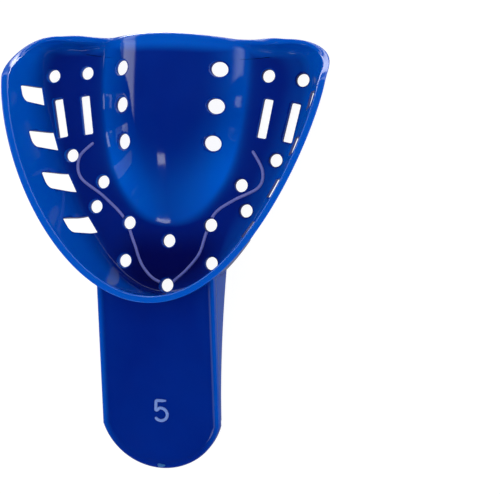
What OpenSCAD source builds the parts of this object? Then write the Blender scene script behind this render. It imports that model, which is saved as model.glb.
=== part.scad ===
// Upper dental impression tray: a perforated, horseshoe-shaped trough with a
// raised palate vault, flared outer walls and a flat, sloping handle.
// Units are millimetres.  +X is the tray's right when it is seen from above
// with the handle towards the viewer, +Y runs from the handle to the rear
// edge, and +Z points up into the trough.  z = 0 is the underside of the floor.

/* [Trough floor] */
// Half width of the flat floor at its widest place
floor_half_w = 27.5; // [26.5:0.1:28.5]
// Length of the floor's outer edge from its front to its widest place
floor_len = 41.7; // [40.7:0.1:42.5]
// Thickness of the floor and of the vault
floor_t = 1.6; // [1.2:0.1:2]
// Diameter of the round holes in the floor
hole_d = 2.6; // [2:0.1:3]
// Width of the straight slots
slot_w = 1.95; // [1.4:0.05:2.2]
// Length of the straight slots
slot_len = 7.8; // [5:0.1:9]

/* [Outer walls] */
// Half width of the tray over the rim
rim_half_w = 32.7; // [31.5:0.1:34]
// Length of the rim from its front to its widest place
rim_len = 44.2; // [43.5:0.1:45]
// Thickness of the outer walls
wall_t = 1.1; // [0.9:0.1:1.4]
// Height of the rim over the underside at its highest place
rim_h = 17.0; // [15:0.1:20]
// Height of the low lip across the back of the trough
rear_lip_h = 5.5; // [5:0.1:7]
// Length of the window openings at their sill
window_w = 3.85; // [2.5:0.05:4.2]
// Height of the rearmost window opening's top edge over the underside
window_top = 9.0; // [5:0.1:9.2]

/* [Palate vault] */
// Half width of the vault where it stands on the floor
vault_half_w = 15; // [14:0.1:15.2]
// Rise of the vault's crown over the floor
vault_rise = 8.8; // [4:0.1:12]
// Diameter of the round holes in the vault
vault_hole_d = 3.0; // [2:0.1:3.6]

/* [Handle] */
// Half width of the handle
handle_half_w = 11.9; // [10:0.1:13]
// Distance from the origin to the handle's tip along Y
handle_reach = 40.4; // [34:0.1:48]
// Downward slope of the handle in degrees
handle_slope = 18.2; // [14:0.1:20]
// Thickness of the handle's top plate
handle_t = 1.6; // [1.2:0.1:2.2]
// Width of the raised rail along the handle's edge
rail_w = 1.1; // [0.8:0.1:2]
// Height of the raised rail
rail_h = 0.4; // [0.2:0.05:0.8]
// Thickness of the side skirts under the handle
skirt_t = 1.3; // [1:0.1:2]

/* [Raised marks] */
// Width of the raised arch guide line
guide_w = 0.5; // [0.3:0.05:0.8]
// Height of the raised arch guide line
guide_h = 0.3; // [0.15:0.05:0.5]
// Height of the size numeral as it is read
numeral_h = 4.8; // [3:0.1:7]
// Stroke width of the size numeral
numeral_w = 0.6; // [0.4:0.05:0.8]

/* [Hidden] */

$fn = 48;
eps = 0.01;               // overshoot of cutting tools
arch_y = 35.5;            // Y of the widest place of floor and rim
floor_power = 1.2;        // fullness of the floor's outer edge
rim_power = 1.43;         // fullness of the rim's outer edge
rear_floor_y = 42.6;      // Y of the floor's straight rear edge
rear_rim_y = 44.25;       // Y of the rim's straight rear edge
corner_power = 2.8;       // fullness of the rounded rear corners
rear_floor_x = 20.5;      // where the floor's rear corner meets the straight edge
rear_rim_x = 21.5;        // where the rim's rear corner meets the straight edge
vault_y = 40;             // Y where the vault reaches its full width
vault_len = 34;           // length of the vault's rounded front
vault_power = 2.3;        // fullness of the vault's front
vault_rear_y = 43.2;      // Y of the vault's rear edge
vault_rise_len = 27;      // length over which the crown reaches full height
crown_power = 1.2;        // how gently the crown starts to rise at the front

arch_steps = 24;          // stations from the front to the widest place
corner_steps = 8;         // stations round each rear corner
rear_steps = 3;           // stations along each straight rear edge
last_station = arch_steps + corner_steps + rear_steps;
split_station = 8;        // where the labial wall meets the buccal walls
profile_steps = 9;        // points up the height of a wall
bead_steps = 7;           // points round the rim bead
vault_cols = 20;          // strips across the vault

rim_top_y = 9.5;          // Y where the rim is highest
rim_sag = 0.0057;         // how fast the rim falls away from there, per mm
rim_drop_y = 34.8;        // Y where the rim starts to fall to the rear lip
rim_drop_len = 9.2;       // length of that fall
rear_dip = 2;             // how far each rear lip dips towards the vault
wall_fullness = 0.23;     // how far out the wall's foot reaches before it climbs
bead_h = 0.8;             // height of the rim bead over the wall
bead_swell = 0.6;         // how far the rim bead stands out from the wall
bead_peak = 1.3;          // greatest value of sin(q) * (1 - cos(q)), at the bead's fullest
lean_share = 0.92;        // share of a thickness that counts across a leaning wall
foot_share = 0.25;        // share of a wall's height over which its foot thins out

// ---- curves in plan ----

// Point on one half of a rounded arch; t is 0 at the front and 90 at its widest.
function arch_point(half_w, len, power, t) =
    [half_w * sin(t), arch_y - len * pow(cos(t), 2 / power)];

// Point on a rounded rear corner; a is 0 at the side and 90 at the back.
function corner_point(x0, y0, x1, y1, a) =
    [x1 + (x0 - x1) * pow(max(cos(a), 0), 2 / corner_power),
     y0 + (y1 - y0) * pow(sin(a), 2 / corner_power)];

// Edge of the floor or rim at a station, for x >= 0.
function edge_point(half_w, len, power, rear_x, rear_y, i) =
    i <= arch_steps ? arch_point(half_w, len, power, 90 * i / arch_steps)
    : i <= arch_steps + corner_steps
        ? corner_point(half_w, arch_y, rear_x, rear_y, 90 * (i - arch_steps) / corner_steps)
        : [rear_x + (vault_half_w - rear_x) * (i - arch_steps - corner_steps) / rear_steps,
           rear_y];

function floor_edge(i) =
    edge_point(floor_half_w, floor_len, floor_power, rear_floor_x, rear_floor_y, i);

function rim_edge(i) =
    edge_point(rim_half_w, rim_len, rim_power, rear_rim_x, rear_rim_y, i);

// Front-to-rear stations of the vault: half width and Y.
vault_first_t = 3;
vault_stations = 16;
function vault_station(i) =
    let (t = vault_first_t + (90 - vault_first_t) * i / vault_stations)
    [vault_half_w * sin(t), vault_y - vault_len * pow(max(cos(t), 0), 2 / vault_power)];

vault_edge = concat([for (i = [0:vault_stations]) vault_station(i)],
                    [[vault_half_w, rear_floor_y]]);
vault_rows = concat(vault_edge, [[vault_half_w, vault_rear_y]]);

// ---- heights ----

function smooth(s) = s <= 0 ? 0 : s >= 1 ? 1 : s * s * (3 - 2 * s);

function rim_z(y) =
    let (arch_z = rim_h - rim_sag * pow(y - rim_top_y, 2),
         fall = smooth((y - rim_drop_y) / rim_drop_len))
    arch_z + (rear_lip_h - arch_z) * fall;

function vault_crown(y) =
    let (run = min(1, max(0, (y - vault_y + vault_len) / vault_rise_len)))
    vault_rise * pow(sin(90 * run), crown_power);

function vault_z(half_w, x, y) = vault_crown(y) * (1 - pow(x / half_w, 2));

// ---- wall profiles ----

// Reach of the wall's inner face from the floor edge at a station.  The wall and its
// bead, which both lean outwards, take up the rest of the way to the rim's edge.
function wall_reach(i) =
    max(0.5, norm(rim_edge(i) - floor_edge(i)) - lean_share * (wall_t + bead_swell));

// Height of the wall's inner face, leaving room for the bead on top.  It dips along the
// rear lips, which run out against the vault.
function wall_top(i) =
    rim_z(rim_edge(i)[1]) - bead_h - rear_dip * smooth((i - arch_steps - corner_steps) / rear_steps);

// Inner face of a wall in its own plane: u outwards, z upwards; s from 0 to 1.
function inner_uz(i, s) =
    let (reach = wall_reach(i), h = wall_top(i))
    [2 * (1 - s) * s * wall_fullness * reach + s * s * reach,
     floor_t + s * s * (h - floor_t)];

// Outward normal of the inner face, pointing through the wall.
function wall_normal(i, s) =
    let (reach = wall_reach(i), h = wall_top(i),
         du = 2 * (1 - 2 * s) * wall_fullness * reach + 2 * s * reach,
         dz = 2 * s * (h - floor_t))
    [dz, -du] / norm([du, dz]);

// Wall thickness runs from the floor's at the foot to the wall's own a little higher up.
function wall_thick(s) = floor_t + (wall_t - floor_t) * min(1, s / foot_share);

function outer_uz(i, s) = inner_uz(i, s) + wall_thick(s) * wall_normal(i, s);

// Turns a point of a wall's own plane into a point in space; side is 1 or -1.
function wall_xyz(i, uz, side) =
    let (f = floor_edge(i), r = rim_edge(i), dir = (r - f) / norm(r - f), p = f + dir * uz[0])
    [side * p[0], p[1], uz[1]];

// Closed outline of a wall section at a station.
function wall_ring(i, side) = concat(
    [for (k = [0:profile_steps]) wall_xyz(i, inner_uz(i, k / profile_steps), side)],
    [for (k = [profile_steps:-1:0]) wall_xyz(i, outer_uz(i, k / profile_steps), side)]);

// Closed outline of the bead on top of a wall at a station.
function bead_ring(i, side) =
    let (a = inner_uz(i, 1), n = wall_normal(i, 1), up = [-n[1], n[0]], r = wall_t / 2)
    [for (k = [0:bead_steps])
        let (q = 180 * k / bead_steps)
        wall_xyz(i, a + n * (r * (1 - cos(q)) + bead_swell * sin(q) * (1 - cos(q)) / bead_peak)
                    + up * bead_h * sin(q), side)];

// Solid through a row of closed outlines that all have the same even number of points.
// Each end is closed by strips that join the outline's first half to its second half.
module loft(rings) {
    n = len(rings[0]);
    m = len(rings);
    end = (m - 1) * n;
    polyhedron(
        points = [for (ring = rings) for (p = ring) p],
        faces = concat(
            [for (j = [0:n / 2 - 2]) [j, j + 1, n - 2 - j, n - 1 - j]],
            [for (j = [0:n / 2 - 2]) [end + n - 1 - j, end + n - 2 - j, end + j + 1, end + j]],
            [for (i = [0:m - 2]) for (j = [0:n - 1])
                [i * n + j, (i + 1) * n + j, (i + 1) * n + (j + 1) % n]],
            [for (i = [0:m - 2]) for (j = [0:n - 1])
                [i * n + j, (i + 1) * n + (j + 1) % n, i * n + (j + 1) % n]]));
}

// Rows of outlines for one side of the tray, listed so that faces point outwards.
function side_rings(first, last, side) =
    side > 0 ? [for (i = [first:last]) wall_ring(i, side)]
             : [for (i = [last:-1:first]) wall_ring(i, side)];

// ---- openings ----

// Round holes of the floor on one side: [x, y].
floor_holes = [[18.65, 37.35], [25.6, 36.65], [20.92, 20.79], [14.17, 15.67],
               [15.39, 10.72], [8.35, 7.7], [8.85, 0.17]];
midline_holes = [[0, 4.37], [0, -4.41]];
// Slots: [x, y, lean in degrees].
slots = [[18.33, 28.92, 9], [23.73, 28.19, 11.5]];
// Round holes of the vault: [x, y].
vault_holes = [[9.93, 37.91], [9.58, 30.64], [9.03, 23.45]];
// Windows: [x, y of the middle of the sill, turn of the sides, turn of the sill, how far
// the top edge lies over the rearmost window's].
windows = [[27.2, 32.3, 3, 12.5, 0], [24.2, 23.4, 6, 19, 0.8], [20.4, 15.2, 4, 27.5, 1.1],
           [15.8, 7.1, 18, 34, 0.9]];

module floor_cuts() {
    for (side = [1, -1]) {
        for (h = floor_holes) {
            translate([side * h[0], h[1], -eps]) cylinder(d = hole_d, h = floor_t * 3);
        }
        for (s = slots) {
            translate([side * s[0], s[1], floor_t]) rotate([0, 0, -side * s[2]])
                cube([slot_w, slot_len, floor_t * 3], center = true);
        }
    }
    for (h = midline_holes) {
        translate([h[0], h[1], -eps]) cylinder(d = hole_d, h = floor_t * 3);
    }
}

window_taper = 0.75;      // how much narrower a window is at its top than at its sill
window_r = 1.4;           // radius of a window's rounded top corner
window_depth = 12;        // reach of the cutters, more than the walls' lean

// Outline of a window seen along its sides: a little narrower at the top, with one
// rounded top corner, and carried down through the foot of the wall.
module window_outline(top) {
    top_w = window_w - window_taper;
    polygon(concat(
        [[-window_w / 2, -1], [window_w / 2, -1], [top_w / 2, top]],
        [for (a = [0:15:90])
            [-top_w / 2 + window_r * (1 - sin(a)), top - window_r * (1 - cos(a))]]));
}

// One window cutter: the outline pushed out through the wall, behind an upright sill.
module window_cut(w) {
    intersection() {
        translate([w[0], w[1], 0]) rotate([0, 0, -w[2]]) rotate([90, 0, 90])
            translate([0, 0, -window_depth / 2]) linear_extrude(1.5 * window_depth)
                window_outline(window_top + w[4]);
        translate([w[0], w[1], -1]) rotate([0, 0, -w[3]]) translate([0, -window_depth, 0])
            cube([window_depth, 2 * window_depth, 2 * window_depth]);
    }
}

module window_cuts() {
    for (w = windows) {
        window_cut(w);
    }
}

// ---- nodes of the bowl ----

module trough_floor() {
    color("MediumBlue") difference() {
        linear_extrude(floor_t) polygon(concat(
            [for (i = [last_station:-1:1]) floor_edge(i)],
            [for (i = [0:last_station]) [-floor_edge(i)[0], floor_edge(i)[1]]],
            [for (i = [len(vault_edge) - 2:-1:0]) [-vault_edge[i][0], vault_edge[i][1]]],
            [for (i = [0:len(vault_edge) - 2]) vault_edge[i]]));
        floor_cuts();
        window_cuts();
        mirror([1, 0, 0]) window_cuts();
    }
}

module labial_flange() {
    color("Blue") loft(concat([for (i = [split_station:-1:1]) wall_ring(i, -1)],
                              [for (i = [0:split_station]) wall_ring(i, 1)]));
}

module right_buccal_flange() {
    color("RoyalBlue") difference() {
        loft(side_rings(split_station, arch_steps, 1));
        window_cuts();
    }
}

module left_buccal_flange() {
    color("RoyalBlue") difference() {
        loft(side_rings(split_station, arch_steps, -1));
        mirror([1, 0, 0]) window_cuts();
    }
}

module right_rear_lip() {
    color("CornflowerBlue") loft(side_rings(arch_steps, last_station, 1));
}

module left_rear_lip() {
    color("CornflowerBlue") loft(side_rings(arch_steps, last_station, -1));
}

module rim_bead() {
    color("DodgerBlue") loft(concat(
        [for (i = [last_station:-1:1]) bead_ring(i, -1)],
        [for (i = [0:last_station]) bead_ring(i, 1)]));
}

// Outline across the vault at one station: top from left to right, then underneath back.
function vault_ring(row) = concat(
    [for (k = [0:vault_cols]) let (x = row[0] * (2 * k / vault_cols - 1))
        [x, row[1], floor_t + vault_z(row[0], x, row[1])]],
    [for (k = [vault_cols:-1:0]) let (x = row[0] * (2 * k / vault_cols - 1))
        [x, row[1], vault_z(row[0], x, row[1])]]);

module palate_vault() {
    color("SteelBlue") difference() {
        loft([for (row = vault_rows) vault_ring(row)]);
        for (side = [1, -1]) {
            for (h = vault_holes) {
                translate([side * h[0], h[1], -eps])
                    cylinder(d = vault_hole_d, h = vault_rise + floor_t * 2);
            }
        }
    }
}

// Rounded thickening along the vault's rear edge.
lip_y = 1.2;
lip_up = 0.35;
function vault_lip_ring(k) =
    let (x = vault_half_w * (2 * k / vault_cols - 1), z = vault_z(vault_half_w, x, vault_rear_y))
    [for (q = [0:5])
        let (a = 180 * q / 5)
        [x, vault_rear_y + lip_y * sin(a), z + floor_t / 2 - (floor_t / 2) * cos(a)
            + lip_up * sin(a)]];

module vault_rear_lip() {
    color("DodgerBlue") loft([for (k = [0:vault_cols]) vault_lip_ring(k)]);
}

// ---- handle ----

tip_r = 12.4;             // radius of the handle's rounded end
tip_y = -handle_reach;
tip_z = -2.4;             // top face of the plate at the tip
plate_end_y = 1;          // the plate blank ends here, inside the bowl's walls
plate_run = (plate_end_y - tip_y) / cos(handle_slope);

// Everything inside the outer face of the bowl's walls, as one block.  Each level is a
// row of points from the left rear round the front to the right rear, and the top and
// bottom are closed by strips that join the two sides.
module bowl_block() {
    n = 2 * arch_steps + 1;
    levels = [for (k = [0:profile_steps]) concat(
        [for (i = [arch_steps:-1:1]) wall_xyz(i, outer_uz(i, k / profile_steps), -1)],
        [for (i = [0:arch_steps]) wall_xyz(i, outer_uz(i, k / profile_steps), 1)])];
    top = profile_steps * n;
    strips = concat([for (j = [0:arch_steps - 2]) [j, j + 1, n - 2 - j, n - 1 - j]],
                    [[arch_steps - 1, arch_steps, arch_steps + 1]]);
    polyhedron(
        points = [for (level = levels) for (p = level) p],
        faces = concat(
            [for (f = strips) f],
            [for (f = strips) [for (q = [len(f) - 1:-1:0]) top + f[q]]],
            [for (k = [0:profile_steps - 1]) for (j = [0:n - 1])
                [k * n + j, (k + 1) * n + j, (k + 1) * n + (j + 1) % n]],
            [for (k = [0:profile_steps - 1]) for (j = [0:n - 1])
                [k * n + j, (k + 1) * n + (j + 1) % n, k * n + (j + 1) % n]]));
}

// Places children in the plane of the plate's top face, with the tip at the origin.
module on_handle() {
    translate([0, tip_y, tip_z]) rotate([handle_slope, 0, 0]) children();
}

module handle_outline(inset) {
    intersection() {
        union() {
            translate([0, tip_r]) circle(r = tip_r - inset, $fn = 96);
            translate([-handle_half_w, tip_r]) square([2 * handle_half_w, plate_run - tip_r]);
        }
        translate([-handle_half_w + inset, 0])
            square([2 * (handle_half_w - inset), plate_run]);
    }
}

module handle_plate() {
    color("MediumBlue") difference() {
        on_handle() translate([0, 0, -handle_t]) linear_extrude(handle_t) handle_outline(0);
        bowl_block();
    }
}

module handle_rail() {
    color("DodgerBlue") difference() {
        on_handle() linear_extrude(rail_h) difference() {
            handle_outline(0);
            handle_outline(rail_w);
        }
        bowl_block();
    }
}

// Side view of a skirt: under the plate, with a slightly arched lower edge.
skirt_rear_y = 2;
skirt_front_y = -30.5;
skirt_bow = 1.7;
function plate_under(y) = tip_z + (y - tip_y) * tan(handle_slope) - handle_t / cos(handle_slope);
function skirt_low(s) =
    let (z1 = plate_under(skirt_front_y) - eps)
    [skirt_rear_y + (skirt_front_y - skirt_rear_y) * s, z1 * s + skirt_bow * 4 * s * (1 - s)];

module skirt_side() {
    polygon(concat([for (k = [0:10]) skirt_low(k / 10)],
                   [[skirt_front_y, plate_under(skirt_front_y)],
                    [skirt_rear_y, plate_under(skirt_rear_y)]]));
}

module right_handle_skirt() {
    color("RoyalBlue") difference() {
        translate([handle_half_w - skirt_t, 0, 0]) rotate([90, 0, 90])
            linear_extrude(skirt_t) skirt_side();
        bowl_block();
    }
}

module left_handle_skirt() {
    color("RoyalBlue") mirror([1, 0, 0]) right_handle_skirt();
}

// ---- raised marks ----

// Points the guide line passes through, from its rear end to the midline.
left_guide = [[16.5, 23.4], [19.3, 20.4], [18.8, 16.4], [13.9, 12.8], [9.4, 8.6], [7.1, 3.8],
              [5.4, -0.3], [3.2, -2.9], [1.1, -4.0]];
right_guide = [[16.2, 22.5], [18.4, 18.6], [17.7, 15.3], [12.9, 12.7], [9.2, 10.0],
               [7.6, 6.0], [6.4, 2.0], [3.9, -1.3], [1.1, -3.9]];
guide_pieces = 6;         // straight pieces in each span between two points
guide_top = 0.3;          // half width of the line's flat top, as a share of its width

// Smooth curve through the points: each span is a cubic that leaves and arrives
// along the line between the neighbouring points.
function span(a, b, c, d, s) =
    0.5 * (2 * b + (c - a) * s + (2 * a - 5 * b + 4 * c - d) * s * s
        + (3 * b - 3 * c + d - a) * s * s * s);
function guide_curve(p) =
    let (last = len(p) - 1)
    concat([for (i = [0:last - 1]) for (k = [0:guide_pieces - 1])
                span(p[max(0, i - 1)], p[i], p[i + 1], p[min(last, i + 2)], k / guide_pieces)],
           [p[last]]);

function guide_ring(path, i, side) =
    let (a = path[max(0, i - 1)], b = path[min(len(path) - 1, i + 1)],
         n = [a[1] - b[1], b[0] - a[0]] / norm(b - a), p = path[i])
    [for (q = [[-0.5, 0], [0.5, 0], [guide_top, 1], [-guide_top, 1]])
        [side * (p[0] + n[0] * q[0] * guide_w), p[1] + n[1] * q[0] * guide_w,
         floor_t + q[1] * guide_h]];

module arch_guide(corners, side) {
    path = guide_curve(corners);
    last = len(path) - 1;
    rings = side > 0 ? [for (i = [0:last]) guide_ring(path, i, side)]
                     : [for (i = [last:-1:0]) guide_ring(path, i, side)];
    difference() {
        loft(rings);
        floor_cuts();
    }
}

module left_arch_guide() {
    color("SlateBlue") arch_guide(left_guide, -1);
}

module right_arch_guide() {
    color("SlateBlue") arch_guide(right_guide, 1);
}

// The numeral five: a bar, a stem and an open bowl.
numeral_y = 9.4;          // distance of the numeral's foot from the tip, along the plate
numeral_rise = 0.3;
bowl_share = 0.31;        // radius of the numeral's bowl, as a share of its height
stem_share = 0.9;         // how far left the stem stands, in bowl radii
stem_foot_share = 1.45;   // height of the stem's foot, in bowl radii
bar_share = 1.7;          // length of the top bar, in bowl radii
gap_start = 140;          // the gap in the numeral's bowl lies between these directions
gap_end = 210;
module size_numeral() {
    bowl_r = numeral_h * bowl_share;
    stem_x = -bowl_r * stem_share;
    stem_foot = bowl_r * stem_foot_share;
    color("LightSteelBlue") on_handle() translate([0, numeral_y, 0])
        linear_extrude(numeral_rise) {
            translate([stem_x, numeral_h - numeral_w])
                square([bowl_r * bar_share, numeral_w]);
            translate([stem_x, stem_foot])
                square([numeral_w, numeral_h - stem_foot]);
            translate([0, bowl_r]) difference() {
                circle(r = bowl_r);
                circle(r = bowl_r - numeral_w);
                polygon(concat([[0, 0]], [for (a = [gap_start:35:gap_end])
                    2 * bowl_r * [cos(a), sin(a)]]));
            }
        }
}

// Small oblong stub on the rail at the tip, where the plastic entered the mould.
gate_x = -0.3;
gate_y = rail_w / 2 + 0.05;
gate_len = 1.6;
gate_w = 0.7;
gate_rise = 0.2;
module gate_mark() {
    color("LightSteelBlue") on_handle() translate([gate_x, gate_y, rail_h])
        linear_extrude(gate_rise) {
            square([gate_len - gate_w, gate_w], center = true);
            for (side = [1, -1]) {
                translate([side * (gate_len - gate_w) / 2, 0]) circle(d = gate_w);
            }
        }
}

trough_floor();
labial_flange();
left_buccal_flange();
right_buccal_flange();
left_rear_lip();
right_rear_lip();
rim_bead();
palate_vault();
vault_rear_lip();
handle_plate();
handle_rail();
left_handle_skirt();
right_handle_skirt();
left_arch_guide();
right_arch_guide();
size_numeral();
gate_mark();
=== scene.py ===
"""Looks for the upper impression tray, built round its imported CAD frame.

The tray is one glossy blue moulding.  The bowl (floor, walls, rim, rear lips and vault)
is rebuilt here as one smooth shell from the same curves as the CAD, with its holes,
slots and windows cut through.  The handle, its skirts, the raised guide lines, the
numeral and the gate mark are separate meshes.  Lengths are in millimetres and angles in
degrees until a mesh is made.
"""

import math

import bmesh
import bpy
import numpy as np
from mathutils import Matrix, Vector


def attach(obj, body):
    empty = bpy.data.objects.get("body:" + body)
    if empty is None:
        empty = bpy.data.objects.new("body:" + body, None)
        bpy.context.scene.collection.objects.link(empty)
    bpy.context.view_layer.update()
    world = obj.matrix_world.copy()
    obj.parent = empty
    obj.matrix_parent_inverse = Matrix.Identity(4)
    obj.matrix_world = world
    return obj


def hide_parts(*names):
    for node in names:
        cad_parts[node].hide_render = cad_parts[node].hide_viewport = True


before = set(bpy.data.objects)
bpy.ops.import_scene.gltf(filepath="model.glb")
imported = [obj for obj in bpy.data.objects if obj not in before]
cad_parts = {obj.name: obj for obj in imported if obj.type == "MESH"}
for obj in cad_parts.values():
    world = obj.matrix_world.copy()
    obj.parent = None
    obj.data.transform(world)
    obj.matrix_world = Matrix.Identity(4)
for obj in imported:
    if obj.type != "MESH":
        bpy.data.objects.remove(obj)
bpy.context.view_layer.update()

MM = 0.001

# ---------------------------------------------------------------- dimensions

FLOOR_HALF_W, FLOOR_LEN, FLOOR_POWER = 27.5, 41.7, 1.2
RIM_HALF_W, RIM_LEN, RIM_POWER = 32.7, 44.2, 1.43
ARCH_Y = 35.5
FLOOR_T, WALL_T = 1.6, 1.1
REAR_FLOOR, REAR_RIM = (20.5, 42.6), (21.5, 44.25)
CORNER_POWER = 2.8
VAULT_HALF_W, VAULT_Y, VAULT_LEN, VAULT_POWER = 15.0, 40.0, 34.0, 2.3
VAULT_RISE, VAULT_RISE_LEN, CROWN_POWER = 8.8, 27.0, 1.2
VAULT_MIN_GAIN = 2.0  # keeps the vault's foot steep enough at its front tip
FILLET_FRONT, FILLET_REAR = 0.45, 1.10
RIM_H, RIM_TOP_Y, RIM_SAG = 17.0, 9.5, 0.0057
RIM_DROP_Y, RIM_DROP_LEN, REAR_LIP_H = 34.8, 9.2, 5.5
REAR_DIP = 2.0        # how far the rear lips dip towards the vault
REAR_STEP = 0.35      # how far the rear edge steps in between the lips and the vault
WALL_BELLY = 0.17     # how far the walls swell outwards between foot and rim
COVE = 1.8            # how far the rounded corner between floor and wall reaches
BEAD_H, BEAD_SWELL = 0.8, 0.6
COVE_SHARE = 0.4      # share of a wall's parameter that the rounded corner takes up

HOLE_R, VAULT_HOLE_R = 1.3, 1.5
FLOOR_HOLES = [(18.65, 37.35), (25.6, 36.65), (20.92, 20.79), (14.17, 15.67),
               (15.39, 10.72), (8.35, 7.7), (8.85, 0.17)]
MIDLINE_HOLES = [(0.0, 4.37), (0.0, -4.41)]
SLOTS = [(18.33, 28.92, 9.0), (23.73, 28.19, 11.5)]
SLOT_W, SLOT_LEN = 1.95, 7.8
VAULT_HOLES = [(9.93, 37.91), (9.58, 30.64), (9.03, 23.45)]
WINDOWS = [(27.2, 32.3, 3.0, 12.5, 9.0), (24.2, 23.4, 6.0, 19.0, 9.8),
           (20.4, 15.2, 4.0, 27.5, 10.1), (15.8, 7.1, 18.0, 34.0, 9.9)]
WINDOW_W, WINDOW_TAPER, WINDOW_R, WINDOW_REACH = 3.85, 0.75, 1.4, 9.0

HANDLE_HALF_W, TIP_Y, TIP_Z = 11.9, -40.4, -2.4
HANDLE_SLOPE, HANDLE_T, TIP_R = 18.2, 1.6, 12.4
PLATE_RUN = (1.0 - TIP_Y) / math.cos(math.radians(HANDLE_SLOPE))
SKIRT_T, SKIRT_REAR_Y, SKIRT_FRONT_Y, SKIRT_BOW = 1.3, 2.0, -30.5, 1.7
SKIRT_GAP = 0.004     # keeps the skirt's outer face just inside the plate's edge

GUIDE_W, NUMERAL_W, MARK_RISE = 0.60, 0.62, 0.3
NUMERAL_H, NUMERAL_Y = 4.85, 9.4

LEFT_GUIDE = [(16.5, 23.4), (19.3, 20.4), (18.8, 16.4), (13.9, 12.8), (9.4, 8.6),
              (7.1, 3.8), (5.4, -0.3), (3.2, -2.9), (1.1, -4.0)]
RIGHT_GUIDE = [(16.2, 22.5), (18.4, 18.6), (17.7, 15.3), (12.9, 12.7), (9.2, 10.0),
               (7.6, 6.0), (6.4, 2.0), (3.9, -1.3), (1.1, -3.9)]

STEPS_ARCH, STEPS_CORNER, STEPS_REAR, STEPS_VAULT = 96, 28, 12, 34
STEPS_IN, STEPS_WALL, STEPS_BEAD = 64, 24, 14
# Painted light: how much lighter the colour is painted on walls, rim, outer faces, skirts and
# handle, standing in for light from the sides and through the plastic.
WALL_PAINTED_LIGHT, RIM_PAINTED_LIGHT, OUTSIDE_PAINTED_LIGHT, SKIRT_PAINTED_LIGHT = 0.50, 0.48, 0.40, 0.30
HANDLE_PAINTED_LIGHT, HANDLE_EDGE_PAINTED_LIGHT = 0.03, 0.35
PAINTED_LIGHT_LEAD = {1: 0.42, -1: 0.0}    # the right wall's painted light runs from the floor's edge upwards


def sind(a):
    return math.sin(math.radians(a))


def cosd(a):
    return math.cos(math.radians(a))


def smooth(s):
    s = min(1.0, max(0.0, s))
    return s * s * (3 - 2 * s)


# ---------------------------------------------------------------- bowl surface

def crown_gain(y):
    """Height of the vault's crown divided by how far inside its footprint y lies."""
    depth = max(VAULT_Y - y, 0.0) / VAULT_LEN
    inside = 1 - min(depth, 1.0) ** VAULT_POWER
    run = min(1.0, max(0.0, (y - VAULT_Y + VAULT_LEN) / VAULT_RISE_LEN))
    crown = VAULT_RISE * sind(90 * run) ** CROWN_POWER
    return max(VAULT_MIN_GAIN, crown / max(inside, 1e-3))


def top_z(x, y):
    """Upper surface of the floor and vault, with a small fillet where they meet."""
    level = (x / VAULT_HALF_W) ** 2 + (max(VAULT_Y - y, 0.0) / VAULT_LEN) ** VAULT_POWER
    h = crown_gain(y) * (1 - level)
    fillet = FILLET_FRONT + (FILLET_REAR - FILLET_FRONT) * smooth((y - 8) / 12)
    return FLOOR_T + 0.5 * (h + math.sqrt(h * h + fillet * fillet))


def arch_point(half_w, length, power, t):
    return half_w * sind(t), ARCH_Y - length * max(cosd(t), 0.0) ** (2 / power)


def corner_point(start, end, a):
    return (end[0] + (start[0] - end[0]) * max(cosd(a), 0.0) ** (2 / CORNER_POWER),
            start[1] + (end[1] - start[1]) * sind(a) ** (2 / CORNER_POWER))


def rim_z(y):
    arch = RIM_H - RIM_SAG * (y - RIM_TOP_Y) ** 2
    return arch + (REAR_LIP_H - arch) * smooth((y - RIM_DROP_Y) / RIM_DROP_LEN)


def stations():
    """Each station: floor edge, rim edge, rim height and spine Y, from front to rear."""
    rows = []
    for i in range(STEPS_ARCH):
        t = 90 * i / STEPS_ARCH
        f = arch_point(FLOOR_HALF_W, FLOOR_LEN, FLOOR_POWER, t)
        r = arch_point(RIM_HALF_W, RIM_LEN, RIM_POWER, t)
        spine = 8 + 28 * (f[1] - ARCH_Y + FLOOR_LEN) / FLOOR_LEN
        rows.append((f, r, rim_z(r[1]), spine))
    for i in range(STEPS_CORNER):
        s = i / STEPS_CORNER
        f = corner_point((FLOOR_HALF_W, ARCH_Y), REAR_FLOOR, 90 * s)
        r = corner_point((RIM_HALF_W, ARCH_Y), REAR_RIM, 90 * s)
        rows.append((f, r, rim_z(r[1]), 36 + 2.5 * s))
    for i in range(STEPS_REAR):
        s = i / STEPS_REAR
        f = (REAR_FLOOR[0] + (VAULT_HALF_W - REAR_FLOOR[0]) * s, REAR_FLOOR[1])
        r = (REAR_RIM[0] + (VAULT_HALF_W - REAR_RIM[0]) * s,
             REAR_RIM[1] - REAR_STEP * smooth(s))
        rows.append((f, r, REAR_LIP_H - REAR_DIP * smooth(s), 38.5 + s))
    for i in range(STEPS_VAULT + 1):
        s = i / STEPS_VAULT
        x = VAULT_HALF_W * (1 - s)
        f = (x, REAR_FLOOR[1] + 0.4 * math.sin(math.pi * s / 2))
        r = (x, REAR_RIM[1] - REAR_STEP + 0.5 * math.sin(math.pi * s / 2))
        z = top_z(f[0], f[1]) + 0.75 + 0.7 * (1 - s) ** 8
        rows.append((f, r, z, 39.5 + 2.0 * s))
    return rows


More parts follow.
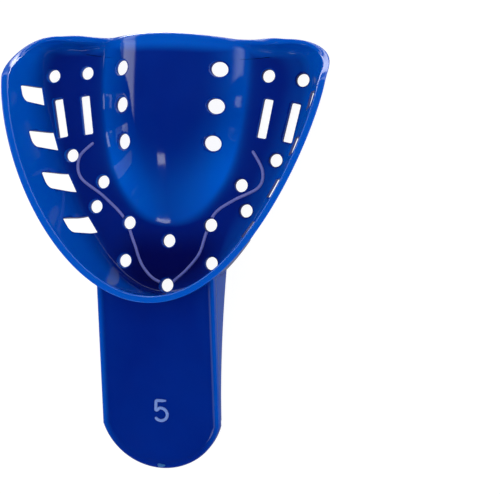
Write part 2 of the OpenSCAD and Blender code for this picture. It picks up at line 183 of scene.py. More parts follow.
class Section:
    """The wall's own plane at one station: u runs outwards from the floor edge."""

    def __init__(self, row):
        self.f, self.r, self.rim_height, self.spine = row
        d = (self.r[0] - self.f[0], self.r[1] - self.f[1])
        size = math.hypot(*d)
        self.dir = (d[0] / size, d[1] / size)
        self.reach = max(0.5, size - 0.92 * (WALL_T + BEAD_SWELL))
        self.foot = top_z(*self.f)
        self.top = max(self.foot + 0.12, self.rim_height - BEAD_H)
        rise = self.top - self.foot
        self.bead = BEAD_SWELL * smooth(rise / 3.0)
        self.slant = math.hypot(self.reach, rise)
        self.cove = min(COVE, 0.6 * self.slant)
        self.edge = (self.f[0] - self.dir[0] * self.cove, self.f[1] - self.dir[1] * self.cove)

    def inner(self, s):
        """Inner face in the wall's plane: first the cove, then the wall itself."""
        share = self.cove / self.slant
        if s >= COVE_SHARE:
            rest = (s - COVE_SHARE) / (1 - COVE_SHARE)
            share += (1 - share) * rest
            belly = WALL_BELLY * min(1.0, self.slant / 10) * math.sin(math.pi * rest)
            return self.reach * share + belly, self.foot + (self.top - self.foot) * share
        q = s / COVE_SHARE
        start = (-self.cove, top_z(*self.edge))
        end = (self.reach * share, self.foot + (self.top - self.foot) * share)
        return tuple((1 - q) ** 2 * a + 2 * q * (1 - q) * b + q * q * c
                     for a, b, c in zip(start, (0.0, self.foot), end))

    def normal(self, s):
        a, b = self.inner(max(0.0, s - 0.01)), self.inner(min(1.0, s + 0.01))
        du, dz = b[0] - a[0], b[1] - a[1]
        size = math.hypot(du, dz)
        return dz / size, -du / size

    def offset(self, s, share):
        t = FLOOR_T + (WALL_T - FLOOR_T) * smooth(s / 0.5)
        (u, z), (nu, nz) = self.inner(s), self.normal(s)
        return u + nu * t * share, z + nz * t * share

    def rim(self, q):
        (u, z), (nu, nz) = self.inner(1), self.normal(1)
        t = self.offset(1, 1)
        r = 0.5 * math.hypot(t[0] - u, t[1] - z)
        out = r * (1 - math.cos(q)) + self.bead * math.sin(q) ** 2 * (1 - math.cos(q)) / 1.2
        up = BEAD_H * math.sin(q)
        return u + nu * out - nz * up, z + nz * out + nu * up

    def point(self, uz):
        return (self.f[0] + self.dir[0] * uz[0], self.f[1] + self.dir[1] * uz[0], uz[1])


def section_points(sec):
    """Points from the spine over the top, round the rim and back underneath."""
    pts = []
    for k in range(STEPS_IN):
        s = k / STEPS_IN
        x, y = sec.edge[0] * s, sec.spine + (sec.edge[1] - sec.spine) * s
        pts.append((x, y, top_z(x, y)))
    pts += [sec.point(sec.inner(k / STEPS_WALL)) for k in range(STEPS_WALL)]
    pts += [sec.point(sec.rim(math.pi * k / STEPS_BEAD)) for k in range(STEPS_BEAD)]
    pts += [sec.point(sec.offset(1 - k / STEPS_WALL, 1)) for k in range(STEPS_WALL)]
    for k in range(STEPS_IN, -1, -1):
        s = k / STEPS_IN
        x, y = sec.edge[0] * s, sec.spine + (sec.edge[1] - sec.spine) * s
        pts.append((x, y, top_z(x, y) - FLOOR_T))
    return pts


def inside_painted_light_shade(x, y, z):
    """Painted light through the vault and along the rear edge; painted shade, below 0, in the
    front.

    The painted light is strongest just above the vault's foot.
    """
    h = z - FLOOR_T
    lit = smooth(h / 1.0) * (1 - 0.9 * smooth((h - 1.0) / 6.5))
    lit *= 0.35 + 0.60 * min(1.0, abs(x) / VAULT_HALF_W)
    lit *= 1 - 0.50 * smooth((y - 16) / 14)
    # painted shade in the trough's front, between the vault and the front wall
    shade = 0.9 * smooth((10 - y) / 9) * smooth((13 - abs(x)) / 8) * smooth(1 - h / 0.9)
    return max(lit, 0.50 * smooth((y - 40.3) / 2.4)) - shade


def section_painted_light_shade(pts, lead):
    """How much painted light each point of a section gets: rim most, foot and floor least.

    The wall's painted light begins at the foot, or on the floor before it if lead is above 0.
    """
    n = STEPS_IN
    inside = [inside_painted_light_shade(*pts[k]) for k in range(n)]
    under = [inside_painted_light_shade(x, y, z + FLOOR_T) for x, y, z in pts[-n - 1:]]
    at_foot = inside[-1]
    early = (WALL_PAINTED_LIGHT - at_foot) * smooth(lead)
    inside = [g + early * smooth((k / n - 0.82) / 0.18) for k, g in enumerate(inside)]
    wall = [at_foot + (WALL_PAINTED_LIGHT - at_foot) * smooth(lead + 1.4 * k / STEPS_WALL)
            for k in range(STEPS_WALL)]
    outside = [OUTSIDE_PAINTED_LIGHT * (1 - k / STEPS_WALL) for k in range(STEPS_WALL)]
    return inside + wall + [RIM_PAINTED_LIGHT] * STEPS_BEAD + outside + under


# ---------------------------------------------------------------- mesh helpers

def make_object(name, verts, faces, painted_light_shade=None):
    """Mesh from points in millimetres; the optional per-point values are painted light, or
    painted shade below 0.
    """
    mesh = bpy.data.meshes.new(name)
    mesh.from_pydata([tuple(c * MM for c in v) for v in verts], [], faces)
    if painted_light_shade is not None:
        layer = mesh.attributes.new("painted_light_shade", "FLOAT", "POINT")
        layer.data.foreach_set("value", np.array(painted_light_shade, dtype=np.float32))
    bm = bmesh.new()
    bm.from_mesh(mesh)
    bmesh.ops.remove_doubles(bm, verts=bm.verts, dist=1e-7)
    bmesh.ops.recalc_face_normals(bm, faces=bm.faces)
    bm.to_mesh(mesh)
    bm.free()
    obj = bpy.data.objects.new(name, mesh)
    bpy.context.scene.collection.objects.link(obj)
    return obj


def loft_faces(rows, n, closed_rows=False, offset=0):
    """Quads between consecutive rows of n points; rows wrap round if closed_rows."""
    last = n if closed_rows else n - 1
    return [(offset + i * n + j, offset + i * n + (j + 1) % n,
             offset + (i + 1) * n + (j + 1) % n, offset + (i + 1) * n + j)
            for i in range(rows - 1) for j in range(last)]


def closed_loft(rings, offset=0):
    """Faces of a solid through closed rings of equal length, with flat ends."""
    n, m = len(rings[0]), len(rings)
    faces = loft_faces(m, n, True, offset)
    faces.append(tuple(offset + j for j in range(n - 1, -1, -1)))
    faces.append(tuple(offset + (m - 1) * n + j for j in range(n)))
    return faces


def apply_boolean(obj, other, operation):
    mod = obj.modifiers.new("cut", "BOOLEAN")
    mod.operation, mod.solver, mod.object = operation, "EXACT", other
    bpy.context.view_layer.update()
    done = bpy.data.meshes.new_from_object(
        obj.evaluated_get(bpy.context.evaluated_depsgraph_get()))
    obj.modifiers.clear()
    obj.data = done


def finish_mesh(obj, angle=32):
    obj.data.shade_smooth()
    obj.data.set_sharp_from_angle(angle=math.radians(angle))


def drop(*objs):
    for o in objs:
        bpy.data.objects.remove(o)


# ---------------------------------------------------------------- cutters

EDGE_R = 0.26        # radius of the rounded mouth of a hole


def hole_rings(outline, height):
    """Rings of a cutter whose mouths are rounded where it meets the sheet."""
    mouth = [(EDGE_R, 0.8), (EDGE_R, 0.02)]
    mouth += [(EDGE_R * (1 - sind(a)), -EDGE_R * (1 - cosd(a)) - 0.02)
              for a in (30, 50, 70, 90)]
    above = [[(x, y, height(x, y) + dz) for x, y in outline(grow)] for grow, dz in mouth]
    below = [[(x, y, height(x, y) - FLOOR_T - dz) for x, y in outline(grow)]
             for grow, dz in reversed(mouth)]
    return above + below


def round_outline(x, y, r, n=40):
    return lambda grow: [(x + (r + grow) * math.cos(2 * math.pi * k / n),
                          y + (r + grow) * math.sin(2 * math.pi * k / n)) for k in range(n)]


def slot_outline(x, y, lean):
    c, s = cosd(lean), sind(lean)

    def outline(grow):
        pts, corner = [], 0.3
        hw, hl = SLOT_W / 2 - corner, SLOT_LEN / 2 - corner
        for q, (sx, sy) in enumerate(((1, 1), (-1, 1), (-1, -1), (1, -1))):
            for k in range(6):
                a = math.pi / 2 * (q + k / 5)
                across = sx * hw + (corner + grow) * math.cos(a)
                along = sy * hl + (corner + grow) * math.sin(a)
                pts.append((x + across * c + along * s, y - across * s + along * c))
        return pts
    return outline


def window_rings(w, side):
    """Cutter of one window: an upright sill and sides that run straight outwards."""
    x, y, turn, sill, top = w
    out = (cosd(turn), -sind(turn))
    along = (sind(turn), cosd(turn))
    half, top_half, r = WINDOW_W / 2, (WINDOW_W - WINDOW_TAPER) / 2, WINDOW_R
    shape = [(-half, -1.0), (half, -1.0), (top_half + 0.25, top - 2.0)]
    shape += [(top_half - 0.35 * (1 - cosd(a)), top - 0.35 * (1 - sind(a)))
              for a in range(0, 91, 18)]
    shape += [(-top_half + r * (1 - sind(a)), top - r * (1 - cosd(a)))
              for a in range(0, 91, 10)]
    near, far = [], []
    for lateral, z in shape:
        start = lateral * math.tan(math.radians(sill - turn))
        for ring, reach in ((near, start), (far, WINDOW_REACH)):
            ring.append((side * (x + along[0] * lateral + out[0] * reach),
                         y + along[1] * lateral + out[1] * reach, z))
    return [near, far]


def make_cutters(name, include_windows=True):
    groups = []
    for side in (1, -1):
        for x, y in FLOOR_HOLES:
            groups.append(hole_rings(round_outline(side * x, y, HOLE_R), top_z))
        for x, y in VAULT_HOLES:
            groups.append(hole_rings(round_outline(side * x, y, VAULT_HOLE_R, 48), top_z))
        for x, y, lean in SLOTS:
            groups.append(hole_rings(slot_outline(side * x, y, side * lean), top_z))
        if include_windows:
            groups += [window_rings(w, side) for w in WINDOWS]
    for x, y in MIDLINE_HOLES:
        groups.append(hole_rings(round_outline(x, y, HOLE_R), top_z))
    verts, faces = [], []
    for rings in groups:
        faces += closed_loft(rings, len(verts))
        verts += [p for ring in rings for p in ring]
    return make_object(name, verts, faces)


# ---------------------------------------------------------------- the bowl

rows = [Section(row) for row in stations()]
right = [section_points(sec) for sec in rows]
count = len(right[0])
verts = [p for ring in right for p in ring]
faces = loft_faces(len(right), count)
half_count = len(verts)
verts += [(-p[0], p[1], p[2]) for p in verts[:half_count]]
faces += [tuple(half_count + v for v in reversed(f)) for f in faces]
# painted light and shade for every point of both halves of the bowl
painted_light_values = [g for side in (1, -1) for ring in right for g in section_painted_light_shade(ring, PAINTED_LIGHT_LEAD[side])]
bowl = make_object("bowl_shell", verts, faces, painted_light_values)
cutters = make_cutters("bowl_cutters")
apply_boolean(bowl, cutters, "DIFFERENCE")
finish_mesh(bowl)
drop(cutters)

BOWL_NODES = ["trough_floor", "labial_flange", "left_buccal_flange", "right_buccal_flange",
              "left_rear_lip", "right_rear_lip", "rim_bead", "palate_vault",
              "vault_rear_lip"]


# ---------------------------------------------------------------- the handle

def bowl_core(name):
    """Everything inside the middle of the bowl's wall, as one block."""
    levels = [k / 12 for k in range(13)]
    picks = rows[:STEPS_ARCH + 1]
    verts = []
    for s in levels:
        ring = [sec.point(sec.offset(s, 0.6)) for sec in picks]
        ring = [(-p[0], p[1], p[2]) for p in reversed(ring[1:])] + ring
        verts += ring
    n = 2 * len(picks) - 1
    faces = loft_faces(len(levels), n, True)
    mid = len(picks) - 1
    top = (len(levels) - 1) * n
    for j in range(mid):
        quad = [j, j + 1, n - 2 - j, n - 1 - j] if j < mid - 1 else [j, j + 1, j + 2]
        faces.append(tuple(quad))
        faces.append(tuple(top + v for v in reversed(quad)))
    return make_object(name, verts, faces)


def handle_loop(inset):
    """Closed outline of the handle in its own plane, moved inwards by inset."""
    half, r = HANDLE_HALF_W - inset, TIP_R - inset
    end = math.asin(min(1.0, half / r))
    side = [(r * math.sin(end * k / 40), TIP_R - r * math.cos(end * k / 40))
            for k in range(41)]
    start_y = side[-1][1]
    side += [(half, start_y + (PLATE_RUN - start_y) * k / 24) for k in range(1, 25)]
    return side + [(-x, y) for x, y in reversed(side[1:])]


def to_frame(p):
    """From the handle's plane (tip at the origin) to the row frame."""
    x, y, z = p
    return (x, TIP_Y + y * cosd(HANDLE_SLOPE) - z * sind(HANDLE_SLOPE),
            TIP_Z + y * sind(HANDLE_SLOPE) + z * cosd(HANDLE_SLOPE))


PLATE_PROFILE = [(2.2, -1.6), (0.45, -1.6), (0.22, -1.55), (0.07, -1.42), (0.0, -1.2),
                 (0.0, -0.6), (0.0, 0.1), (0.04, 0.28), (0.15, 0.41), (0.32, 0.47),
                 (0.55, 0.48), (0.75, 0.45), (0.95, 0.36), (1.12, 0.22), (1.3, 0.1),
                 (1.55, 0.03), (1.9, 0.0), (2.6, 0.0)]


def plate_painted_light(inset, z, y):
    """Painted light: most on the raised border towards the bowl, least on the flat top."""
    border = max(0.0, min(1.0, 1.1 - abs(inset - 0.4) * 1.2)) if z > -0.7 else 0.5
    return HANDLE_PAINTED_LIGHT + HANDLE_EDGE_PAINTED_LIGHT * border * smooth((y - 2.0) / 10.0)


def make_plate():
    rings = [[to_frame((x, y, z)) for x, y in handle_loop(inset)]
             for inset, z in PLATE_PROFILE]
    painted_light_values = [plate_painted_light(inset, z, y) for inset, z in PLATE_PROFILE for _, y in handle_loop(0.0)]
    return make_object("handle_top", [p for ring in rings for p in ring],
                       closed_loft(rings), painted_light_values)


def under_plate(y):
    """Height of the plate's top face at y, before the plate's own thickness."""
    return TIP_Z + (y - TIP_Y) * math.tan(math.radians(HANDLE_SLOPE))


def make_skirt(name, side):
    """A web under the plate's edge; its lower edge bows down between its two ends."""
    rings = []
    inner, outer = HANDLE_HALF_W - SKIRT_T, HANDLE_HALF_W - SKIRT_GAP
    low_end = under_plate(SKIRT_FRONT_Y) - 1.7
    for k in range(61):
        s = k / 60
        y = SKIRT_REAR_Y + (SKIRT_FRONT_Y - SKIRT_REAR_Y) * s
        top = under_plate(y) - 1.3
        low = min(low_end * s + SKIRT_BOW * 4 * s * (1 - s), top - 0.37)
        r = min(0.4, (top - low) * 0.4)
        ring = [(inner + 0.1, top), (outer, top)]
        ring += [(outer - r * (1 - cosd(a)), low + r * (1 - sind(a)))
                 for a in range(0, 91, 15)]
        ring += [(inner + r * (1 - sind(a)), low + r * (1 - cosd(a)))
                 for a in range(0, 91, 15)]
        rings.append([(side * x, y, z) for x, z in ring])
    # the skirt's faces get an even painted light
    return make_object(name, [p for ring in rings for p in ring], closed_loft(rings),
                       [SKIRT_PAINTED_LIGHT] * (len(rings) * len(rings[0])))


core = bowl_core("bowl_core")
plate = make_plate()
apply_boolean(plate, core, "DIFFERENCE")
finish_mesh(plate)
skirts = {}
for node, side in (("left_handle_skirt", -1), ("right_handle_skirt", 1)):
    skirt = make_skirt(node + "_web", side)
    apply_boolean(skirt, core, "DIFFERENCE")
    finish_mesh(skirt)
    skirts[node] = skirt
drop(core)


# ---------------------------------------------------------------- raised marks

def span(a, b, c, d, s):
    return tuple(0.5 * (2 * b[i] + (c[i] - a[i]) * s
                        + (2 * a[i] - 5 * b[i] + 4 * c[i] - d[i]) * s * s
                        + (3 * b[i] - 3 * c[i] + d[i] - a[i]) * s ** 3) for i in range(2))


def curve_through(p, pieces=14):
    last = len(p) - 1
    out = [span(p[max(0, i - 1)], p[i], p[i + 1], p[min(last, i + 2)], k / pieces)
           for i in range(last) for k in range(pieces)]
    return out + [p[last]]


def ridge_rings(path, width, rise, sink=0.12, taper=0.25):
    """A low rounded ridge along a path in the plane; its two ends slope down."""
    rings, travelled = [], [0.0]
    for a, b in zip(path, path[1:]):
        travelled.append(travelled[-1] + math.dist(a, b))
    total = travelled[-1]
    for i, p in enumerate(path):
        a, b = path[max(0, i - 1)], path[min(len(path) - 1, i + 1)]
        size = math.dist(a, b)
        nx, ny = (a[1] - b[1]) / size, (b[0] - a[0]) / size
        end = min(travelled[i], total - travelled[i])
        grow = math.sqrt(min(1.0, 0.25 + 0.75 * end / taper))
        ring = [(p[0] - nx * width / 2 * grow, p[1] - ny * width / 2 * grow, -sink)]
        for k in range(9):
            a = math.pi * k / 8
            across = -math.cos(a) * (1 - 0.12 * math.sin(a))
            ring.append((p[0] + nx * across * width / 2 * grow,
                         p[1] + ny * across * width / 2 * grow,
                         rise * grow * math.sin(a) ** 0.7))
        ring.append((p[0] + nx * width / 2 * grow, p[1] + ny * width / 2 * grow, -sink))
        rings.append(ring)
    return rings


def make_guide(name, corners, side):
    rings = ridge_rings(curve_through(corners), GUIDE_W, MARK_RISE)
    verts = [(side * x, y, top_z(x, y) + z) for ring in rings for x, y, z in ring]
    return make_object(name, verts, closed_loft(rings))


def arc(cx, cy, r, a0, a1, n):
    return [(cx + r * cosd(a0 + (a1 - a0) * k / n), cy + r * sind(a0 + (a1 - a0) * k / n))
            for k in range(n + 1)]


def numeral_five():
    """Centre line of the numeral, foot at the origin: bar, stem, then the bowl."""
    w = 0.6
    h = NUMERAL_H - w
    path = [(1.18, h), (0.4, h), (-0.5, h)] + arc(-0.63, h - 0.25, 0.25, 90, 176, 6)
    path += [(-0.93, h - 0.9), (-0.99, 2.5)]
    path += arc(-0.82, 2.4, 0.17, 185, 300, 7)
    path += arc(0.0, 1.42, 1.3, 118, -118, 34)[2:]
    path += arc(-0.02, 1.38, 1.27, -120, -152, 6)
    return [(x, y + w / 2) for x, y in path]


guide_cutters = make_cutters("guide_cutters", False)
marks = []
for node, corners, side in (("left_arch_guide", LEFT_GUIDE, -1),
                            ("right_arch_guide", RIGHT_GUIDE, 1)):
    guide = make_guide(node + "_line", corners, side)
    apply_boolean(guide, guide_cutters, "DIFFERENCE")
    finish_mesh(guide, 50)
    marks.append((guide, node, "guides"))
drop(guide_cutters)

rings = ridge_rings(numeral_five(), NUMERAL_W, MARK_RISE)
five = make_object("numeral_5", [to_frame((x, NUMERAL_Y + y, z)) for ring in rings
                                 for x, y, z in ring], closed_loft(rings))
finish_mesh(five, 50)
marks.append((five, "size_numeral", "numeral"))


def make_gate():
    """A torn-off stub: an oblong blister with an uneven top."""
    rings = []
    rng = np.random.default_rng(5)
    for k in range(7):
        q = k / 6
        shrink = math.sqrt(max(0.0, 1 - (0.92 * q) ** 2))
        ring = []
        for j in range(28):
            a = 2 * math.pi * j / 28
            wobble = 1 + 0.10 * math.sin(3 * a + 1.0) + 0.05 * float(rng.normal())
            x = 0.85 * shrink * wobble * math.cos(a)
            y = 0.36 * shrink * wobble * math.sin(a)
            z = -0.1 + 0.32 * q + (0.05 * x if k > 2 else 0)
            ring.append(to_frame((x - 0.3, 0.62 + y, 0.45 + z)))
        rings.append(ring)
    return make_object("gate_stub", [p for ring in rings for p in ring], closed_loft(rings))


gate = make_gate()
finish_mesh(gate, 60)
marks.append((gate, "gate_mark", "gate"))


# ---------------------------------------------------------------- materials

def node_material(name):
    mat = bpy.data.materials.new(name)
    mat.use_nodes = True
    tree = mat.node_tree
    return mat, tree, tree.nodes["Principled BSDF"]


def link(tree, a, b):
    tree.links.new(a, b)


def noise(tree, coords, scale, detail=3.0, rough=0.55):
    n = tree.nodes.new("ShaderNodeTexNoise")
    n.inputs["Scale"].default_value = scale
    n.inputs["Detail"].default_value = detail
    n.inputs["Roughness"].default_value = rough
    link(tree, coords, n.inputs["Vector"])
    return n


def math_node(tree, operation, *values):
    n = tree.nodes.new("ShaderNodeMath")
    n.operation = operation
    for socket, value in zip(n.inputs, values):
        link(tree, value, socket)
    return n.outputs[0]


def ramp(tree, source, stops, kind="LINEAR"):
    n = tree.nodes.new("ShaderNodeMapRange")
    n.interpolation_type = kind
    n.inputs["From Min"].default_value, n.inputs["From Max"].default_value = stops[:2]
    n.inputs["To Min"].default_value, n.inputs["To Max"].default_value = stops[2:]
    link(tree, source, n.inputs["Value"])
    return n.outputs["Result"]


def mix_colour(tree, factor, a, b, blend="MIX"):
    n = tree.nodes.new("ShaderNodeMix")
    n.data_type, n.blend_type = "RGBA", blend
    for socket, value in ((n.inputs[0], factor), (n.inputs[6], a), (n.inputs[7], b)):
        if isinstance(value, (tuple, list)):
            socket.default_value = value
        elif isinstance(value, (int, float)):
            socket.default_value = value
        else:
            link(tree, value, socket)
    return n.outputs[2]


def tray_plastic():
    """Glossy, slightly translucent dark-blue plastic with faint flow marks and scuffs.

    A mesh attribute paints light into the colour: lighter where it is above 0, painted
    shade where it is below 0.  Edges are a little paler, more so in patches.
    """
    mat, tree, bsdf = node_material("tray_blue_plastic")
    coords = tree.nodes.new("ShaderNodeTexCoord").outputs["Object"]
    geo = tree.nodes.new("ShaderNodeNewGeometry")
    flow = noise(tree, coords, 90, 2.0).outputs["Fac"]
    fine = noise(tree, coords, 2600, 4.0).outputs["Fac"]
    scuff = noise(tree, coords, 420, 6.0, 0.7).outputs["Fac"]

    base = mix_colour(tree, ramp(tree, flow, (0.3, 0.7, 0.0, 1.0)),
                      (0.0, 0.0120, 0.205, 1), (0.0, 0.0155, 0.230, 1))
    painted_light_shade = tree.nodes.new("ShaderNodeAttribute")
    painted_light_shade.attribute_name = "painted_light_shade"
    # painted shade where the attribute is below 0, painted light where it is above 0
    base = mix_colour(tree, ramp(tree, painted_light_shade.outputs["Fac"], (-1.0, 0.0, 1.0, 0.0)), base,
                      (0.0, 0.0010, 0.085, 1))
    base = mix_colour(tree, ramp(tree, painted_light_shade.outputs["Fac"], (0.0, 1.0, 0.0, 1.0)), base,
                      (0.0, 0.18, 0.85, 1))

    round_off = tree.nodes.new("ShaderNodeBevel")
    round_off.samples = 6
    round_off.inputs["Radius"].default_value = 0.00030
    bend = tree.nodes.new("ShaderNodeVectorMath")
    bend.operation = "DOT_PRODUCT"
    link(tree, round_off.outputs["Normal"], bend.inputs[0])
    link(tree, geo.outputs["Normal"], bend.inputs[1])
    # edges coloured a little paler, more in some patches
    edge = ramp(tree, bend.outputs["Value"], (0.995, 0.80, 0.0, 0.45))
    paler_edge = math_node(tree, "MULTIPLY", edge, ramp(tree, scuff, (0.35, 0.65, 0.5, 1.0)))
    base = mix_colour(tree, paler_edge, base, (0.0, 0.16, 0.66, 1))
    link(tree, base, bsdf.inputs["Base Color"])

    rough = math_node(tree, "ADD", ramp(tree, scuff, (0.45, 0.80, 0.055, 0.13)),
                      ramp(tree, fine, (0.3, 0.7, 0.0, 0.02)))
    link(tree, rough, bsdf.inputs["Roughness"])
    bsdf.inputs["IOR"].default_value = 1.49
    bsdf.inputs["Subsurface Weight"].default_value = 0.25
    bsdf.inputs["Subsurface Radius"].default_value = (0.1, 0.35, 1.0)
    bsdf.inputs["Subsurface Scale"].default_value = 0.0020

    tiny = tree.nodes.new("ShaderNodeBump")
    tiny.inputs["Strength"].default_value = 0.04
    tiny.inputs["Distance"].default_value = 0.00002
    link(tree, fine, tiny.inputs["Height"])
    link(tree, round_off.outputs["Normal"], tiny.inputs["Normal"])
    bump = tree.nodes.new("ShaderNodeBump")
    bump.inputs["Strength"].default_value = 0.05
    bump.inputs["Distance"].default_value = 0.00010
    link(tree, flow, bump.inputs["Height"])
    link(tree, tiny.outputs["Normal"], bump.inputs["Normal"])
    link(tree, bump.outputs["Normal"], bsdf.inputs["Normal"])
    return mat


def frosted(name, low, high):
    """The same plastic with a fine frosted finish, which scatters paler light."""
    mat, tree, bsdf = node_material(name)
    coords = tree.nodes.new("ShaderNodeTexCoord").outputs["Object"]
    grain = noise(tree, coords, 3800, 3.0).outputs["Fac"]
    patch = noise(tree, coords, 300, 3.0).outputs["Fac"]
    base = mix_colour(tree, ramp(tree, grain, (0.3, 0.7, 0.0, 1.0)), low, high)
    base = mix_colour(tree, ramp(tree, patch, (0.35, 0.7, 0.0, 0.3)), base,
                      (0.05, 0.09, 0.45, 1))
    link(tree, base, bsdf.inputs["Base Color"])
    link(tree, ramp(tree, grain, (0.3, 0.7, 0.42, 0.62)), bsdf.inputs["Roughness"])
    bump = tree.nodes.new("ShaderNodeBump")
    bump.inputs["Strength"].default_value = 0.3
    bump.inputs["Distance"].default_value = 0.00003
    link(tree, grain, bump.inputs["Height"])
    link(tree, bump.outputs["Normal"], bsdf.inputs["Normal"])
    return mat


PLASTIC = tray_plastic()
MARK_LOOKS = {
    "guides": frosted("frosted_guides", (0.16, 0.17, 0.50, 1), (0.24, 0.25, 0.66, 1)),
    "numeral": frosted("frosted_numeral", (0.15, 0.25, 0.62, 1), (0.22, 0.34, 0.74, 1)),
    "gate": frosted("torn_gate", (0.0, 0.07, 0.28, 1), (0.02, 0.22, 0.50, 1)),
}


def dress(obj, material, slot, *nodes):
    obj.data.materials.clear()
    obj.data.materials.append(material)
    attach(obj, "root")
    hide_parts(*nodes)


dress(bowl, PLASTIC, "tray_plastic", *BOWL_NODES)
dress(plate, PLASTIC, "tray_plastic", "handle_plate", "handle_rail")
for node, skirt in skirts.items():
    dress(skirt, PLASTIC, "tray_plastic", node)
for obj, node, look in marks:
    dress(obj, MARK_LOOKS[look], "raised_marks", node)


# ---------------------------------------------------------------- stage

def floor_material():
    """Pale and matt to the camera.

    In mirror-like reflections it is darker, except on the tray's right and in a strip
    just behind it.  That strip gives the rear corners of the rim their white highlight.
    """
    mat, tree, bsdf = node_material("pale_floor")
    coords = tree.nodes.new("ShaderNodeTexCoord").outputs["Object"]
    soft = noise(tree, coords, 6, 2.0).outputs["Fac"]
    tint = mix_colour(tree, ramp(tree, soft, (0.3, 0.7, 0.0, 1.0)),
                      (0.13, 0.13, 0.13, 1), (0.15, 0.15, 0.15, 1))
    link(tree, tint, bsdf.inputs["Base Color"])
    bsdf.inputs["Roughness"].default_value = 0.7
    bsdf.inputs["Emission Color"].default_value = (1, 1, 1, 1)
    place = tree.nodes.new("ShaderNodeSeparateXYZ")
    link(tree, coords, place.inputs[0])
    beside = ramp(tree, place.outputs["X"], (0.030, 0.040, 0.12, 1.0))
    behind = ramp(tree, place.outputs["Y"], (0.008, 0.014, 0.0, 14.0), "SMOOTHSTEP")
    near = ramp(tree, place.outputs["Y"], (0.022, 0.045, 1.0, 0.0), "SMOOTHSTEP")
    across = ramp(tree, math_node(tree, "ABSOLUTE", place.outputs["X"]),
                  (0.034, 0.042, 1.0, 0.0), "SMOOTHSTEP")
    leftward = ramp(tree, place.outputs["X"], (-0.005, 0.018, 1.0, 0.35), "SMOOTHSTEP")
    strip = math_node(tree, "MULTIPLY", math_node(tree, "MULTIPLY", behind, near),
                      math_node(tree, "MULTIPLY", across, leftward))
    mirrored = math_node(tree, "ADD", beside, strip)
    path = tree.nodes.new("ShaderNodeLightPath")
    pick = tree.nodes.new("ShaderNodeMix")
    pick.inputs["A"].default_value = 0.93
    link(tree, path.outputs["Is Glossy Ray"], pick.inputs["Factor"])
    link(tree, mirrored, pick.inputs["B"])
    link(tree, pick.outputs["Result"], bsdf.inputs["Emission Strength"])
    return mat


# The tray leans on the handle's tip and on the rear edge of its floor.
tip_under = TIP_Z - HANDLE_T * cosd(HANDLE_SLOPE) - 0.5
lean = math.atan2(-tip_under, REAR_FLOOR[1] - TIP_Y)
ground = make_object("ground", [(-900, -900, 0), (900, -900, 0), (900, 900, 0),
                                (-900, 900, 0)], [(0, 1, 2, 3)])
ground.rotation_euler = (lean, 0, 0)
ground.location = Vector((0, REAR_FLOOR[1] * MM, -0.00005))
ground.data.materials.append(floor_material())


def studio_world():
    """White dome; mirror-like reflections see a bright rear horizon, dark above."""
    world = bpy.data.worlds.new("studio")
    world.use_nodes = True
    tree = world.node_tree
    background = tree.nodes["Background"]
    background.inputs["Color"].default_value = (0.93, 0.96, 1.0, 1)
    ray = tree.nodes.new("ShaderNodeTexCoord").outputs["Generated"]
    height = tree.nodes.new("ShaderNodeSeparateXYZ")
    link(tree, ray, height.inputs[0])
    horizon = ramp(tree, height.outputs["Z"], (0.27, 0.34, 2.6, 0.02), "SMOOTHSTEP")
    rearward = ramp(tree, height.outputs["Y"], (-0.22, -0.04, 0.2, 1.0), "SMOOTHSTEP")
    horizon = math_node(tree, "MULTIPLY", horizon, rearward)
    path = tree.nodes.new("ShaderNodeLightPath")
    pick = tree.nodes.new("ShaderNodeMix")
    pick.inputs["A"].default_value = 1.0
    link(tree, path.outputs["Is Glossy Ray"], pick.inputs["Factor"])
    link(tree, horizon, pick.inputs["B"])
    link(tree, pick.outputs["Result"], background.inputs["Strength"])
    bpy.context.scene.world = world


studio_world()


def softbox(name, azimuth, elevation, distance, size, radiance, roll):
    """A light seen only as a reflection; azimuth is measured from +Y towards +X."""
    light = bpy.data.lights.new(name, "AREA")
    light.shape = "RECTANGLE"
    light.size, light.size_y = size
    light.energy = radiance * math.pi * size[0] * size[1]
    obj = bpy.data.objects.new(name, light)
    bpy.context.scene.collection.objects.link(obj)
    target = Vector((0, 0.02, 0.006))
    away = Vector((sind(azimuth) * cosd(elevation), cosd(azimuth) * cosd(elevation),
                   sind(elevation)))
    obj.location = target + away * distance
    turn = away.to_track_quat("Z", "Y").to_matrix() @ Matrix.Rotation(
        math.radians(roll), 3, "Z")
    obj.rotation_euler = turn.to_euler()
    obj.visible_camera = False
    obj.visible_diffuse = False
    return obj


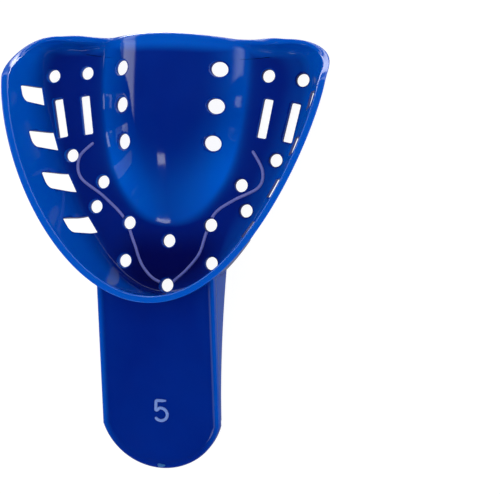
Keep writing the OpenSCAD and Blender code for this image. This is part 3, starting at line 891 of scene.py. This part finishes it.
# It lights the bowl only: on the vault it is a small patch, on the handle it would be haze.
window = softbox("front_window", azimuth=-148.5, elevation=47.5, distance=0.60,
                 size=(0.13, 0.045), radiance=4.5, roll=29.0)
window_sees = bpy.data.collections.new("lit_by_front_window")
window_sees.objects.link(bowl)
window.light_linking.receiver_collection = window_sees

# ---------------------------------------------------------------- camera

# The camera stands off to the tray's right; its frame is shifted, so it looks past AIM.
TILT_X, TILT_Y, ROLL = math.radians(16.0), math.radians(3.18), math.radians(2.79)
AIM = Vector((0.0, 0.0025, 0.0016))
DISTANCE = 0.5
SENSOR_WIDTH, LENS = 36.0, 182.52
LOOK_RIGHT, LOOK_UP = math.radians(1.84819), math.radians(0.06781)

back = Vector((math.sin(TILT_X), -math.sin(TILT_Y) * math.cos(TILT_X),
               math.cos(TILT_Y) * math.cos(TILT_X))).normalized()
level = Vector((0, 1, 0)).cross(back).normalized()
upright = back.cross(level)
right_dir = math.cos(ROLL) * level + math.sin(ROLL) * upright
up_dir = -math.sin(ROLL) * level + math.cos(ROLL) * upright
place = AIM + back * DISTANCE
turned_back = math.cos(LOOK_RIGHT) * back - math.sin(LOOK_RIGHT) * right_dir
turned_right = math.cos(LOOK_RIGHT) * right_dir + math.sin(LOOK_RIGHT) * back
final_back = math.cos(LOOK_UP) * turned_back - math.sin(LOOK_UP) * up_dir
final_up = math.cos(LOOK_UP) * up_dir + math.sin(LOOK_UP) * turned_back

camera_data = bpy.data.cameras.new("camera")
camera_data.sensor_fit = "HORIZONTAL"
camera_data.sensor_width = SENSOR_WIDTH
camera_data.lens = LENS
camera_data.clip_start, camera_data.clip_end = 0.01, 20.0
camera = bpy.data.objects.new("camera", camera_data)
bpy.context.scene.collection.objects.link(camera)
camera.matrix_world = Matrix((
    (turned_right.x, final_up.x, final_back.x, place.x),
    (turned_right.y, final_up.y, final_back.y, place.y),
    (turned_right.z, final_up.z, final_back.z, place.z),
    (0, 0, 0, 1)))
bpy.context.scene.camera = camera
bpy.context.scene.view_settings.view_transform = "Standard"
bpy.context.scene.view_settings.look = "None"
